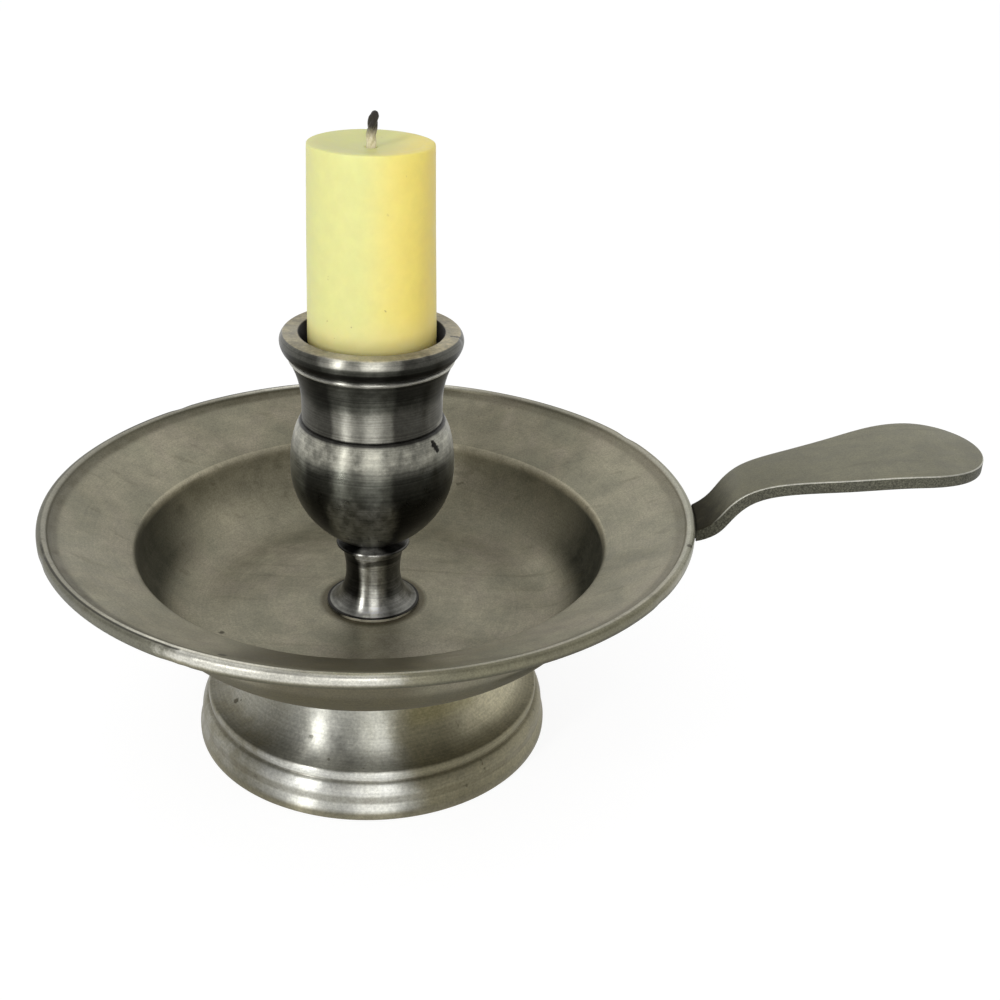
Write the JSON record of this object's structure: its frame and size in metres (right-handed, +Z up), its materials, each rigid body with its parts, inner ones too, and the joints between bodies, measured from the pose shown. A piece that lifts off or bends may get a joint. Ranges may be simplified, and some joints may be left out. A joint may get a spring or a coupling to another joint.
{
  "type": "chamberstick",
  "caption": "Pewter chamberstick: a wide drip pan on a hollow turned foot, a bulbous candle socket on a waisted stem, a flat strap handle and a removable candle stub.",
  "frame": {"origin": "centre of the foot's base ring, on the socket's axis, at the table", "axes": "+Z up along the socket's axis, +X along the handle"},
  "size_m": [0.1642, 0.116, 0.1146],
  "materials": {
    "pewter": "satin, worn",
    "socket_pewter": "polished by handling, fine turning marks",
    "handle_pewter": "satin, tarnished",
    "solder": "matte",
    "steel": "plain",
    "wax": "waxy",
    "wick_cotton": "braided cotton"
  },
  "bodies": {
    "holder": {"foot": "pewter", "foot_solder": "solder", "pan": "pewter", "stem": "socket_pewter", "bulb": "socket_pewter", "cup": "socket_pewter", "tie_washer": "steel", "tie_screw": "steel", "handle": "handle_pewter", "handle_solder": "solder"},
    "candle": {"candle": "wax", "wick": "wick_cotton"}
  },
  "joints": [
    {"name": "candle_lift", "type": "slide", "parent": "holder", "child": "candle", "axis": [0, 0, 1], "range_m": [0, 0.04]}
  ]
}
